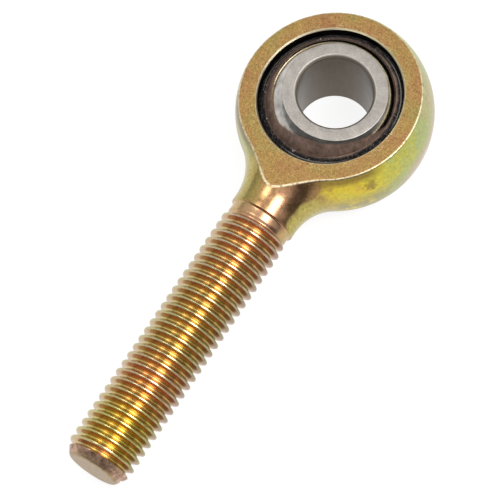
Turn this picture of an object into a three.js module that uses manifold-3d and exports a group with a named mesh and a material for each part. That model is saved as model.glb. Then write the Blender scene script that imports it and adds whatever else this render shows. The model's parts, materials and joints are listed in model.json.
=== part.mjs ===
// Rod end bearing with a male M14 x 2 shank: plated steel body, moulded plastic race, hardened steel ball.
// Millimetres. Origin at the centre of the ball, +Z along the ball's bore, the shank runs towards +X.
// The ball lies on its lower face. The body leans over it until the head and the tip of the shank also
// touch the surface below.
import * as THREE from "three";
import { mergeVertices } from "three/addons/utils/BufferGeometryUtils.js";
import Module from "manifold-3d";

// Head of the body: a sphere about the ball's centre, cut by two parallel flats.
const HEAD_RADIUS = 20;
const HEAD_WIDTH = 15;
const HEAD_BORE_RADIUS = 14.75;
const HEAD_BORE_BEVEL = 0.3;

// Groove inside the head's bore that keys the race in place.
const GROOVE_RADIUS = 16.4;
const GROOVE_HALF_WIDTH = 3;
const GROOVE_MOUTH_HALF_WIDTH = 4.6;

// Neck, collar and undercut between head and thread.
const NECK_FILLET_RADIUS = 12;
const COLLAR_RADIUS = 7;
const COLLAR_END = 27.2;
const UNDERCUT_RADIUS = 6.45;
const UNDERCUT_STEP = 0.25;

// Thread M14 x 2, right hand, measured along the shank from the ball's centre.
const THREAD_MAJOR_RADIUS = 7;
const THREAD_MINOR_RADIUS = 5.8;
const THREAD_PITCH = 2;
const THREAD_CREST_WIDTH = THREAD_PITCH / 8;
const THREAD_ROOT_WIDTH = THREAD_PITCH / 4;
const THREAD_START = 29.4;
const THREAD_RUN_IN = 1.4;
const SHANK_END = 88;
const END_FACE_RADIUS = 5.3;
const TIP_CHAMFER_LENGTH = 2.7;
const THREAD_SEGMENTS = 24;

// Ball: a sphere with two flats and a chamfered through bore.
const BALL_RADIUS = 14.5;
const BALL_WIDTH = 20;
const BALL_BORE_RADIUS = 7.6;
const BALL_BORE_CHAMFER = 0.6;

// Race: spherical seat for the ball, keyed into the head's groove.
const FIT_GAP = 0.3;
const RACE_SEAT_RADIUS = BALL_RADIUS + FIT_GAP;
const RACE_LIP_HEIGHT = 6.5;
const RACE_LIP_WIDTH = 0.55;
const RACE_FOOT_HEIGHT = 5.2;

// Pose of the body over the upright ball: lean about the shank, then droop of the shank towards its tip.
const BODY_ROLL = THREE.MathUtils.degToRad(7.7);
const BODY_PITCH = THREE.MathUtils.degToRad(1.98);

// Fineness of the faceted surfaces.
const TURNED_SEGMENTS = 48;
const HEAD_STEPS = 22;
const NECK_STEPS = 8;
const BALL_STEPS = 10;
const SEAT_STEPS = 8;
const MERGE_TOLERANCE = 1e-5;

// Sizes of the cutting solids past the faces that they cut.
const CUT_SIZE = 60;
const CUT_OVERRUN = 1;
const ENVELOPE_CLEARANCE = 0.05;

const PLATED_STEEL = new THREE.MeshStandardMaterial({ color: 0xb58a4e, roughness: 0.4, metalness: 0.9 });
const BLACK_NYLON = new THREE.MeshStandardMaterial({ color: 0x17181a, roughness: 0.6, metalness: 0 });
const BRIGHT_STEEL = new THREE.MeshStandardMaterial({ color: 0xc4c1bc, roughness: 0.25, metalness: 1 });

const wasm = await Module();
wasm.setup();

function solid(geometry) {
  const bare = geometry.clone();
  bare.deleteAttribute("normal");
  bare.deleteAttribute("uv");
  const merged = mergeVertices(bare, MERGE_TOLERANCE);
  const vertProperties = new Float32Array(merged.getAttribute("position").array);
  const triVerts = new Uint32Array(merged.index.array);
  return new wasm.Manifold(new wasm.Mesh({ numProp: 3, vertProperties, triVerts }));
}

function geometryOf(manifold) {
  const mesh = manifold.getMesh();
  const geometry = new THREE.BufferGeometry();
  geometry.setAttribute("position", new THREE.BufferAttribute(new Float32Array(mesh.vertProperties), 3));
  geometry.setIndex(new THREE.BufferAttribute(new Uint32Array(mesh.triVerts), 1));
  geometry.computeVertexNormals();
  return geometry;
}

// Points on an arc about `centre`, angles in radians measured from the first coordinate.
function arc(centre, radius, from, to, steps) {
  const points = [];
  for (let i = 0; i <= steps; i += 1) {
    const angle = from + ((to - from) * i) / steps;
    points.push([centre[0] + radius * Math.cos(angle), centre[1] + radius * Math.sin(angle)]);
  }
  return points;
}

// Turns a profile of [radius, height] pairs about Z.
function turned(profile, segments) {
  const points = profile.map(([radius, height]) => new THREE.Vector2(radius, height));
  return new THREE.LatheGeometry(points, segments).rotateX(Math.PI / 2);
}

// Turns a profile of [distance along the shank, radius] pairs about the shank's axis.
function turnedAlongShank(profile, segments) {
  const points = profile.map(([along, radius]) => new THREE.Vector2(radius, along));
  return new THREE.LatheGeometry(points, segments).rotateZ(-Math.PI / 2);
}

// Head, neck, collar and undercut in one turned blank, ending inside the thread's core.
function blank() {
  const filletAcross = COLLAR_RADIUS + NECK_FILLET_RADIUS;
  const filletAlong = Math.sqrt((HEAD_RADIUS + NECK_FILLET_RADIUS) ** 2 - filletAcross ** 2);
  const tangent = Math.atan2(filletAcross, filletAlong);
  const sphere = arc([0, 0], HEAD_RADIUS, Math.PI, tangent, HEAD_STEPS);
  const filletCentre = [filletAlong, filletAcross];
  const neck = arc(filletCentre, NECK_FILLET_RADIUS, tangent + Math.PI, 1.5 * Math.PI, NECK_STEPS);
  const end = THREAD_START + THREAD_RUN_IN;
  return turnedAlongShank(
    [
      [-HEAD_RADIUS, 0],
      ...sphere.slice(1),
      ...neck.slice(1),
      [COLLAR_END, COLLAR_RADIUS],
      [COLLAR_END + UNDERCUT_STEP, UNDERCUT_RADIUS],
      [THREAD_START, UNDERCUT_RADIUS],
      [end, THREAD_MINOR_RADIUS],
      [end, 0],
    ],
    TURNED_SEGMENTS,
  );
}

// A rod bounded by a helical thread, longer than the shank at both ends. Each turn shares its edge with the
// next one, and the two ends are closed by faces that run in to the axis.
function threadedRod(from, to) {
  const flank = (THREAD_PITCH - THREAD_CREST_WIDTH - THREAD_ROOT_WIDTH) / 2;
  const profile = [
    [0, THREAD_MINOR_RADIUS],
    [THREAD_ROOT_WIDTH, THREAD_MINOR_RADIUS],
    [THREAD_ROOT_WIDTH + flank, THREAD_MAJOR_RADIUS],
    [THREAD_ROOT_WIDTH + flank + THREAD_CREST_WIDTH, THREAD_MAJOR_RADIUS],
  ];
  const steps = Math.ceil(((to - from) / THREAD_PITCH) * THREAD_SEGMENTS);
  const columns = profile.length;
  const positions = [];
  const triangles = [];
  for (let step = 0; step <= steps + THREAD_SEGMENTS; step += 1) {
    const angle = (2 * Math.PI * step) / THREAD_SEGMENTS;
    for (const [offset, radius] of profile) {
      const along = from + offset + (THREAD_PITCH * step) / THREAD_SEGMENTS;
      positions.push(along, radius * Math.cos(angle), radius * Math.sin(angle));
    }
  }
  const at = (step, column) =>
    column === columns ? (step + THREAD_SEGMENTS) * columns : step * columns + column;
  for (let step = 0; step < steps; step += 1) {
    for (let column = 0; column < columns; column += 1) {
      const near = at(step, column);
      const far = at(step + 1, column + 1);
      triangles.push(near, at(step + 1, column), far);
      triangles.push(near, far, at(step, column + 1));
    }
  }
  const closeEnd = (step, along, flip) => {
    const hub = positions.length / 3;
    positions.push(along, 0, 0);
    const rim = [];
    for (let i = 0; i <= THREAD_SEGMENTS; i += 1) {
      rim.push(at(step + i, 0));
    }
    for (let column = columns - 1; column >= 0; column -= 1) {
      rim.push(at(step, column));
    }
    for (let i = 0; i + 1 < rim.length; i += 1) {
      triangles.push(hub, ...(flip ? [rim[i + 1], rim[i]] : [rim[i], rim[i + 1]]));
    }
  };
  closeEnd(0, from + THREAD_PITCH / 2, true);
  closeEnd(steps, from + THREAD_PITCH / 2 + (THREAD_PITCH * steps) / THREAD_SEGMENTS, false);
  const geometry = new THREE.BufferGeometry();
  geometry.setAttribute("position", new THREE.Float32BufferAttribute(positions, 3));
  geometry.setIndex(triangles);
  return geometry.toNonIndexed();
}

// Turned envelope of the thread: run-in at the undercut, chamfer at the tip.
function threadEnvelope() {
  const clear = ENVELOPE_CLEARANCE;
  return turnedAlongShank(
    [
      [THREAD_START, 0],
      [THREAD_START, UNDERCUT_RADIUS - clear],
      [THREAD_START + THREAD_RUN_IN, THREAD_MAJOR_RADIUS + clear],
      [SHANK_END - TIP_CHAMFER_LENGTH - clear, THREAD_MAJOR_RADIUS + clear],
      [SHANK_END, END_FACE_RADIUS],
      [SHANK_END, 0],
    ],
    TURNED_SEGMENTS,
  );
}

// Everything taken out of the middle of the head: bevelled bore and keying groove.
function headBore() {
  const face = HEAD_WIDTH / 2;
  const over = CUT_OVERRUN;
  const half = [
    [GROOVE_RADIUS, GROOVE_HALF_WIDTH],
    [HEAD_BORE_RADIUS, GROOVE_MOUTH_HALF_WIDTH],
    [HEAD_BORE_RADIUS, face - HEAD_BORE_BEVEL],
    [HEAD_BORE_RADIUS + HEAD_BORE_BEVEL + over, face + over],
    [0, face + over],
  ];
  const lower = half.map(([radius, height]) => [radius, -height]).reverse();
  return turned([...lower, ...half], TURNED_SEGMENTS);
}

// Slab on one side of the head that cuts a flat.
function flatCut(side) {
  const slab = new THREE.BoxGeometry(CUT_SIZE, CUT_SIZE, CUT_SIZE);
  return slab.translate(0, 0, (side * (HEAD_WIDTH + CUT_SIZE)) / 2);
}

function bodyGeometry() {
  const rod = solid(threadedRod(THREAD_START - 2 * THREAD_PITCH, SHANK_END + THREAD_PITCH));
  const thread = rod.intersect(solid(threadEnvelope()));
  const cut = solid(blank()).add(thread);
  const flats = cut.subtract(solid(flatCut(1))).subtract(solid(flatCut(-1)));
  return geometryOf(flats.subtract(solid(headBore())));
}

function raceGeometry() {
  const lipInner = Math.sqrt(RACE_SEAT_RADIUS ** 2 - RACE_LIP_HEIGHT ** 2);
  const outer = [
    [lipInner + RACE_LIP_WIDTH, RACE_LIP_HEIGHT],
    [HEAD_BORE_RADIUS - FIT_GAP, RACE_FOOT_HEIGHT],
    [HEAD_BORE_RADIUS - FIT_GAP, GROOVE_MOUTH_HALF_WIDTH - FIT_GAP / 2],
    [GROOVE_RADIUS - FIT_GAP, GROOVE_HALF_WIDTH - FIT_GAP / 2],
  ];
  const lipAngle = Math.asin(RACE_LIP_HEIGHT / RACE_SEAT_RADIUS);
  const seat = arc([0, 0], RACE_SEAT_RADIUS, -lipAngle, lipAngle, SEAT_STEPS);
  const mirrored = outer.map(([radius, height]) => [radius, -height]).reverse();
  return turned([...seat, ...outer, ...mirrored, seat[0]].reverse(), TURNED_SEGMENTS);
}

function ballGeometry() {
  const face = BALL_WIDTH / 2;
  const faceAngle = Math.asin(face / BALL_RADIUS);
  const sphere = arc([0, 0], BALL_RADIUS, -faceAngle, faceAngle, BALL_STEPS);
  const bore = [
    [BALL_BORE_RADIUS + BALL_BORE_CHAMFER, face],
    [BALL_BORE_RADIUS, face - BALL_BORE_CHAMFER],
    [BALL_BORE_RADIUS, BALL_BORE_CHAMFER - face],
    [BALL_BORE_RADIUS + BALL_BORE_CHAMFER, -face],
  ];
  return turned([...sphere, ...bore, sphere[0]], TURNED_SEGMENTS);
}

function named(name, geometry, material) {
  const mesh = new THREE.Mesh(geometry, material);
  mesh.name = name;
  return mesh;
}

const leaning = new THREE.Group();
leaning.name = "leaning_body";
leaning.rotation.set(BODY_ROLL, BODY_PITCH, 0, "YXZ");
leaning.add(named("rod_end_body", bodyGeometry(), PLATED_STEEL));
leaning.add(named("race", raceGeometry(), BLACK_NYLON));

const part = new THREE.Group();
part.name = "rod_end_bearing";
part.add(leaning);
part.add(named("ball", ballGeometry(), BRIGHT_STEEL));

export default part;
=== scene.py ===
import json
import math

import bmesh
import bpy
import numpy as np
from mathutils import Matrix, Vector


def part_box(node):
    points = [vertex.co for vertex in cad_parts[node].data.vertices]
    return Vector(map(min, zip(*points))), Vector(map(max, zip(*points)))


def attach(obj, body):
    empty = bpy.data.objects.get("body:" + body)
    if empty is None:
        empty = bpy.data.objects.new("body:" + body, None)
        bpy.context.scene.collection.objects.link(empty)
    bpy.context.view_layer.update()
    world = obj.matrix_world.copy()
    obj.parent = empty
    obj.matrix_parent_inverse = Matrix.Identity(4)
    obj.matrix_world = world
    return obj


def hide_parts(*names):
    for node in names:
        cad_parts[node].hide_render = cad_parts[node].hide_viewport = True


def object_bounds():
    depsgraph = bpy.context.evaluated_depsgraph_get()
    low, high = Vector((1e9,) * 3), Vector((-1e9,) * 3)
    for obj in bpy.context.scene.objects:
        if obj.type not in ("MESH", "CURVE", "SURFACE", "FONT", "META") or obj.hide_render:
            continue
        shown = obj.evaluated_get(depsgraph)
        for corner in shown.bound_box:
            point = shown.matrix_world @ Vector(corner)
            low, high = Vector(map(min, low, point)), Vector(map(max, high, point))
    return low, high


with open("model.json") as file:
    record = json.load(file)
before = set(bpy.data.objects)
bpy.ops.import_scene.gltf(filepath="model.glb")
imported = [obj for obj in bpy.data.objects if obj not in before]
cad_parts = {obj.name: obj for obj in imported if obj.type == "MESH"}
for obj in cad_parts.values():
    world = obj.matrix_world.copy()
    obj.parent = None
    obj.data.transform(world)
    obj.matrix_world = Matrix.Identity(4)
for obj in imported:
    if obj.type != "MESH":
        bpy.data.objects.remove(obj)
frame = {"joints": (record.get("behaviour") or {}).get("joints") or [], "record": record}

cad_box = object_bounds()

# Lengths are millimetres in each body's own axes; MM turns them into the frame's metres.
MM = 0.001

# Head: a ball-turned forging between two flats, with a bevelled and grooved bore.
HEAD_RADIUS = 20.0
HEAD_HALF_WIDTH = 7.5
HEAD_BORE_RADIUS = 14.75
HEAD_BORE_BEVEL = 0.3
GROOVE_RADIUS = 16.4
GROOVE_HALF_WIDTH = 3.0
GROOVE_MOUTH_HALF_WIDTH = 4.6
# Edge between flat and side: eased less where the two nearly line up, and worn, with a painted highlight
# along it, between the pair of distances set last below.
EDGE_SOFTNESS = 0.4
LEAST_EDGE_OPENING = 0.01
EDGE_WEAR_AND_GLINT = (0.06, 0.36)

# Neck, collar and undercut, measured along the shank from the ball's centre.
NECK_FILLET_RADIUS = 12.0
COLLAR_RADIUS = 7.0
COLLAR_END = 27.2
COLLAR_EDGE = 0.15
UNDERCUT_RADIUS = 6.45

# Thread M14 x 2. Its strip runs between the joins and grows out of the undercut over the fade.
THREAD_MAJOR_RADIUS = 7.0
THREAD_MINOR_RADIUS = 5.8
THREAD_PITCH = 2.0
THREAD_CREST_WIDTH = 0.34
THREAD_ROOT_WIDTH = 0.5
THREAD_CREST_SOFTNESS = 0.16
THREAD_ROOT_SOFTNESS = 0.45
THREAD_JOIN = 28.4
THREAD_FADE = (28.6, 30.8)
SHANK_END = 88.0
END_FACE_RADIUS = 5.3
END_EDGE = 0.8
TIP_CHAMFER_LENGTH = 2.7
TIP_SLOPE = (THREAD_MAJOR_RADIUS - END_FACE_RADIUS) / TIP_CHAMFER_LENGTH
TIP_JOIN = SHANK_END - 0.6
THREAD_SEGMENTS = 96
THREAD_PROFILE_STEPS = 18
NECK_RINGS = 13
END_FACE_RINGS = (0.8, 0.4)

# The thread's strip is merged from turn to turn, cut at both joins and bridged over small gaps to the rings
# beside it. The edges to bridge are looked for within BRIDGE_REACH of a gap.
MERGE_DISTANCE = 1e-4
NECK_JOIN_GAP = 0.1
TIP_JOIN_GAP = 0.05
BRIDGE_REACH = 0.1

# Ball and race.
BALL_RADIUS = 14.5
BALL_HALF_WIDTH = 10.0
BALL_EDGE = 0.18
BALL_BORE_RADIUS = 7.6
BALL_BORE_CHAMFER = 0.6
BALL_BORE_EDGE = 0.08
RACE_SEAT_RADIUS = 14.53
RACE_LIP_HEIGHT = 6.5
RACE_LIP_WIDTH = 0.45
RACE_LIP_EDGES = (0.06, 0.1)
RACE_FOOT_HEIGHT = 5.1
RACE_FOOT_EDGE = 0.05
RACE_CLEARANCE = 0.02
TURNED_SEGMENTS = 256
ARC_STEPS = 6

# Arcs on the ball and the seat stop a little short of their rounded edges.
BALL_ARC_SHARE = 0.985
BALL_ARC_STEPS = 48
SEAT_ARC_SHARE = 0.98
SEAT_ARC_STEPS = 24

# Head mesh: columns round the flat's outline, levels across the head's side.
NECK_COLUMNS = 44
HEAD_COLUMNS = 150
SIDE_LEVELS = 40
EDGE_STEPS = (0.5, 0.4, 0.32, 0.25, 0.19, 0.14, 0.09, 0.045)
COLUMN_BLEND_END = math.radians(65)
SHARP_ANGLE = math.radians(38)

# The neck fillet touches the head's sphere and runs into the collar.
FILLET_CENTRE_RADIUS = COLLAR_RADIUS + NECK_FILLET_RADIUS
FILLET_CENTRE = math.sqrt((HEAD_RADIUS + NECK_FILLET_RADIUS) ** 2 - FILLET_CENTRE_RADIUS ** 2)
FILLET_START = FILLET_CENTRE * HEAD_RADIUS / (HEAD_RADIUS + NECK_FILLET_RADIUS)
FLAT_TIP = FILLET_CENTRE - math.sqrt(
    NECK_FILLET_RADIUS ** 2 - (FILLET_CENTRE_RADIUS - HEAD_HALF_WIDTH) ** 2
)
FLAT_CIRCLE = math.sqrt(HEAD_RADIUS ** 2 - HEAD_HALF_WIDTH ** 2)


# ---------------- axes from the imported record

mounts = {mount["name"]: mount for mount in frame["record"]["mounts"]}
joints = {joint["name"]: joint for joint in frame["joints"]}
ball_low, ball_high = (Vector(corner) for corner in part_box("ball"))
ball_centre = (ball_low + ball_high) / 2

shank_axis = Vector(mounts["shank_end"]["axis"]).normalized()
side_axis = Vector(joints["ball_swivel"]["axis"]).cross(shank_axis).normalized()
head_axis = shank_axis.cross(side_axis)
ball_place = Matrix.Translation(ball_centre)
body_turn = Matrix((shank_axis, side_axis, head_axis)).transposed()
body_place = ball_place @ body_turn.to_4x4()


# ---------------- shapes as formulas

def blank_radius(along):
    """Radius of the turned blank at a distance along the shank: sphere, neck fillet, collar."""
    sphere = np.sqrt(np.maximum(HEAD_RADIUS ** 2 - along ** 2, 0))
    reach = np.clip(NECK_FILLET_RADIUS ** 2 - (along - FILLET_CENTRE) ** 2, 0, None)
    fillet = FILLET_CENTRE_RADIUS - np.sqrt(reach)
    neck = np.where(along < FILLET_CENTRE, fillet, COLLAR_RADIUS)
    return np.where(along < FILLET_START, sphere, neck)


def blank_distance(points):
    """Signed distance of points from the turned blank."""
    along = points[..., 0]
    radial = np.hypot(points[..., 1], points[..., 2])
    sphere = np.linalg.norm(points, axis=-1) - HEAD_RADIUS
    fillet = NECK_FILLET_RADIUS - np.hypot(along - FILLET_CENTRE, radial - FILLET_CENTRE_RADIUS)
    neck = np.where(along < FILLET_CENTRE, fillet, radial - COLLAR_RADIUS)
    return np.where(along * FILLET_CENTRE_RADIUS < radial * FILLET_CENTRE, sphere, neck)


def gradient(field, points, step=1e-4):
    """Slope of a field of distances at points, by central differences."""
    shifts = np.eye(3) * step
    return np.stack([(field(points + s) - field(points - s)) / (2 * step) for s in shifts], axis=-1)


def head_distance(points):
    """Distance from the blank between its flats, with the edge between them eased."""
    blank = blank_distance(points)
    flat = np.abs(points[..., 2]) - HEAD_HALF_WIDTH
    slope = gradient(blank_distance, points)[..., 2]
    softness = EDGE_SOFTNESS * np.sqrt(np.clip(1 - slope ** 2, LEAST_EDGE_OPENING, 1))
    overlap = np.clip(softness - np.abs(blank - flat), 0, None)
    return np.maximum(blank, flat) + overlap ** 2 / (4 * softness)


def settle(points, field, rounds=4):
    """Moves points onto the surface where the field is zero."""
    for _ in range(rounds):
        slope = gradient(field, points)
        points = points - slope * (field(points) / np.sum(slope ** 2, axis=-1))[..., None]
    return points


def unit(vectors):
    """Vectors of length 1 in the same directions."""
    return vectors / np.linalg.norm(vectors, axis=-1, keepdims=True)


def smoothstep(low, high, value):
    """0 below low, 1 above high, smooth between."""
    share = np.clip((value - low) / (high - low), 0, 1)
    return share * share * (3 - 2 * share)


def soft_limit(value, limit, softness):
    """The smaller of value and limit, eased where they meet."""
    overlap = np.clip(softness - np.abs(value - limit), 0, None)
    return np.minimum(value, limit) - overlap ** 2 / (4 * softness)


def thread_radius(along, phase):
    """Radius of the thread: phase runs from 0 at a crest's middle through 0.5 at a root's."""
    across = np.abs((phase + 0.5) % 1 - 0.5) * THREAD_PITCH
    flank_run = (THREAD_PITCH - THREAD_CREST_WIDTH - THREAD_ROOT_WIDTH) / 2
    fall = (across - THREAD_CREST_WIDTH / 2) / flank_run
    flank = THREAD_MAJOR_RADIUS - fall * (THREAD_MAJOR_RADIUS - THREAD_MINOR_RADIUS)
    crest = soft_limit(flank, THREAD_MAJOR_RADIUS, THREAD_CREST_SOFTNESS)
    form = -soft_limit(-crest, -THREAD_MINOR_RADIUS, THREAD_ROOT_SOFTNESS)
    cone = END_FACE_RADIUS + (SHANK_END - along) * TIP_SLOPE
    share = smoothstep(*THREAD_FADE, along)
    return np.minimum(UNDERCUT_RADIUS + (form - UNDERCUT_RADIUS) * share, cone)


# ---------------- mesh building

class Skin:
    """Vertices and faces gathered row by row, in millimetres, with how worn each vertex is, which also places
    a painted highlight.
    """

    def __init__(self):
        self.points = []
        self.faces = []
        self.wear_and_glint = []

    def row(self, points, wear_and_glint=0.0):
        """Adds a row of points and returns their numbers."""
        first = len(self.points)
        self.points.extend(map(tuple, points))
        self.wear_and_glint.extend([wear_and_glint] * (len(self.points) - first))
        return list(range(first, len(self.points)))

    def strip(self, one, other, closed=True):
        """Joins two rows of the same length with a strip of four-sided faces."""
        count = len(one) if closed else len(one) - 1
        for i in range(count):
            j = (i + 1) % len(one)
            self.faces.append((one[i], one[j], other[j], other[i]))

    def to_bmesh(self):
        mesh = bmesh.new()
        layer = mesh.verts.layers.float.new("wear_and_glint")
        vertices = [mesh.verts.new(point) for point in self.points]
        for vertex, wear_and_glint in zip(vertices, self.wear_and_glint):
            vertex[layer] = wear_and_glint
        for face in self.faces:
            mesh.faces.new([vertices[i] for i in face])
        return mesh


def mirrored(corners):
    """Corners of the lower half, in reverse, so that both halves make one outline."""
    return [(radius, -height, rounding) for radius, height, rounding in reversed(corners)]


def rounded(corners):
    """Closed outline of (radius, height, rounding) corners, each rounded corner as an arc."""
    outline = []
    count = len(corners)
    for i, (radius, height, rounding) in enumerate(corners):
        here = np.array((radius, height))
        if rounding == 0:
            outline.append(here)
            continue
        before = unit(np.array(corners[i - 1][:2]) - here)
        after = unit(np.array(corners[(i + 1) % count][:2]) - here)
        half = math.acos(np.clip(before @ after, -1, 1)) / 2
        centre = here + unit(before + after) * rounding / math.sin(half)
        start = here + before * rounding / math.tan(half) - centre
        end = here + after * rounding / math.tan(half) - centre
        sweep = math.pi - 2 * half
        for step in range(ARC_STEPS + 1):
            share = step / ARC_STEPS * sweep
            weights = (math.sin(sweep - share) / math.sin(sweep), math.sin(share) / math.sin(sweep))
            outline.append(centre + start * weights[0] + end * weights[1])
    return outline


def arc_points(radius, start, end, steps):
    """Points of an arc about the origin between two angles from the radius axis."""
    angles = np.linspace(start, end, steps + 1)
    return [(radius * math.cos(angle), radius * math.sin(angle)) for angle in angles]


def turned(outline):
    """Skin made by turning a closed (radius, height) outline about the third axis."""
    skin = Skin()
    angles = np.arange(TURNED_SEGMENTS) * 2 * math.pi / TURNED_SEGMENTS
    circle = np.stack([np.cos(angles), np.sin(angles)], axis=1)
    rows = [
        skin.row(np.column_stack([circle * radius, np.full(TURNED_SEGMENTS, height)]))
        for radius, height in outline
    ]
    for i, row in enumerate(rows):
        skin.strip(row, rows[(i + 1) % len(rows)])
    return skin


def finish_piece(name, mesh, material, place, body, node):
    """Turns a bmesh in millimetres into a shaded object that stands for a CAD node."""
    bmesh.ops.recalc_face_normals(mesh, faces=mesh.faces)
    for edge in mesh.edges:
        edge.smooth = len(edge.link_faces) == 2 and edge.calc_face_angle(0) < SHARP_ANGLE
    for face in mesh.faces:
        face.smooth = True
    bmesh.ops.transform(mesh, matrix=place @ Matrix.Scale(MM, 4), verts=mesh.verts)
    data = bpy.data.meshes.new(name)
    mesh.to_mesh(data)
    mesh.free()
    data.materials.append(material)
    piece = bpy.data.objects.new(name, data)
    bpy.context.scene.collection.objects.link(piece)
    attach(piece, body)
    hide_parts(node)


# ---------------- the rod end's body

def half_outline():
    """Upper flat's outline on one side, from its tip on the neck to the back of the head."""
    share = np.arange(NECK_COLUMNS) / NECK_COLUMNS
    along = FLAT_TIP - (FLAT_TIP - FILLET_START) * share ** 2
    across = np.sqrt(np.maximum(blank_radius(along) ** 2 - HEAD_HALF_WIDTH ** 2, 0))
    turn = np.linspace(math.acos(FILLET_START / FLAT_CIRCLE), math.pi, HEAD_COLUMNS + 1)
    neck = np.stack([along, across], axis=1)
    head = FLAT_CIRCLE * np.stack([np.cos(turn), np.sin(turn)], axis=1)
    return np.concatenate([neck, head])


def edge_rows():
    """Loops of points across the upper flat's edge, from the side of the head to the flat."""
    half = half_outline()
    other = half[1:-1][::-1] * (1, -1)
    loop = np.concatenate([half, other])
    loop = np.column_stack([loop, np.full(len(loop), HEAD_HALF_WIDTH)])
    tangent = unit(np.roll(loop, -1, axis=0) - np.roll(loop, 1, axis=0))
    down_side = unit(np.cross(gradient(blank_distance, loop), tangent))
    down_side *= -np.sign(down_side[:, 2:])
    inward = np.cross((0, 0, 1.0), tangent)
    rows = [loop + down_side * step for step in EDGE_STEPS]
    rows += [loop]
    rows += [loop + inward * step for step in reversed(EDGE_STEPS)]
    return [settle(row, head_distance) for row in rows]


def side_levels(edge, sides):
    """Rows of points down the head's side below each point of the upper edge's first loop."""
    along, across, height = edge.T
    direction = np.abs(np.arctan2(across, along))
    start = math.acos(FILLET_START / FLAT_CIRCLE)
    square = 1 - smoothstep(start, COLUMN_BLEND_END, direction)
    bulge = HEAD_RADIUS + (np.maximum(blank_radius(along), height) - HEAD_RADIUS) * square
    edge_angle = np.arcsin(np.minimum(height / bulge, 1))
    edge_circle = np.sqrt(HEAD_RADIUS ** 2 - height ** 2)
    rows = []
    for share in np.linspace(1, -1, SIDE_LEVELS + 1)[1:-1]:
        level = bulge * np.sin(edge_angle * share)
        circle = np.sqrt(HEAD_RADIUS ** 2 - level ** 2)
        moved = along * (1 + (1 - square) * (circle / edge_circle - 1))
        out = np.sqrt(np.maximum(blank_radius(moved) ** 2 - level ** 2, 0))
        rows.append(np.stack([moved, sides * out, level], axis=1))
    return rows


def add_side(skin, edge, upper_row, lower_row):
    """The head's side between the first loops of both flats' edges. Returns the neck's ring."""
    edge = np.concatenate([edge, edge[:1]])
    sides = np.where(np.arange(len(edge)) <= NECK_COLUMNS + HEAD_COLUMNS, 1, -1)
    side = [upper_row + upper_row[:1]]
    side += [skin.row(row) for row in side_levels(edge, sides)]
    side += [lower_row + lower_row[:1]]
    for one, other in zip(side, side[1:]):
        skin.strip(one, other, closed=False)
    return [row[0] for row in side] + [row[-1] for row in reversed(side[1:-1])]


def add_bore(skin, rim, upper_row, lower_row):
    """The head's bore with its bevels and groove, between the last loops of both flats."""
    upper = [
        (HEAD_BORE_RADIUS + HEAD_BORE_BEVEL, HEAD_HALF_WIDTH, 0),
        (HEAD_BORE_RADIUS, HEAD_HALF_WIDTH - HEAD_BORE_BEVEL, HEAD_BORE_BEVEL / 4),
        (HEAD_BORE_RADIUS, GROOVE_MOUTH_HALF_WIDTH, 0),
        (GROOVE_RADIUS, GROOVE_HALF_WIDTH, 0),
    ]
    directions = unit(rim[:, :2])
    bore = [
        skin.row(np.column_stack([directions * radius, np.full(len(rim), height)]))
        for radius, height in rounded(upper + mirrored(upper))
    ]
    for one, other in zip([upper_row] + bore, bore + [lower_row]):
        skin.strip(one, other)


def head_skin():
    """The head with its flats and bore, open at the neck. Returns the skin and the neck's ring."""
    skin = Skin()
    upper = edge_rows()
    to_lower = np.array((1, 1, -1))
    steps = EDGE_STEPS + (0,) + EDGE_STEPS[::-1]
    wear_and_glint = [1 - float(smoothstep(*EDGE_WEAR_AND_GLINT, step)) for step in steps]
    top = [skin.row(row, share) for row, share in zip(upper, wear_and_glint)]
    bottom = [skin.row(row * to_lower, share) for row, share in zip(upper, wear_and_glint)]
    for loops in (top, bottom):
        for one, other in zip(loops, loops[1:]):
            skin.strip(one, other)
    neck_ring = add_side(skin, upper[0], top[0], bottom[0])
    add_bore(skin, upper[-1], top[-1], bottom[-1])
    return skin, neck_ring


def add_shank_rings(skin, ring, outline):
    """Rings about the shank at the (distance along, radius) points of an outline."""
    angles = [math.atan2(skin.points[i][2], skin.points[i][1]) for i in ring]
    for along, radius in outline:
        points = [(along, radius * math.cos(angle), radius * math.sin(angle)) for angle in angles]
        following = skin.row(points)
        skin.strip(ring, following)
        ring = following
    return ring


def neck_outline(start):
    """Neck fillet, collar with its eased edge, and undercut, up to the thread."""
    fillet = np.linspace(start, FILLET_CENTRE, NECK_RINGS + 1)[1:]
    outline = [(along, float(blank_radius(along))) for along in fillet]
    corner = COLLAR_END - COLLAR_EDGE
    for angle in np.linspace(0, math.pi / 2, ARC_STEPS):
        lift = COLLAR_RADIUS - COLLAR_EDGE + COLLAR_EDGE * math.cos(angle)
        outline.append((corner + COLLAR_EDGE * math.sin(angle), lift))
    root = COLLAR_RADIUS - UNDERCUT_RADIUS - COLLAR_EDGE
    for angle in np.linspace(0, math.pi / 2, ARC_STEPS)[1:]:
        drop = COLLAR_RADIUS - COLLAR_EDGE - root * math.sin(angle)
        outline.append((COLLAR_END + root * (1 - math.cos(angle)), drop))
    outline.append((THREAD_JOIN - NECK_JOIN_GAP, UNDERCUT_RADIUS))
    return outline


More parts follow.
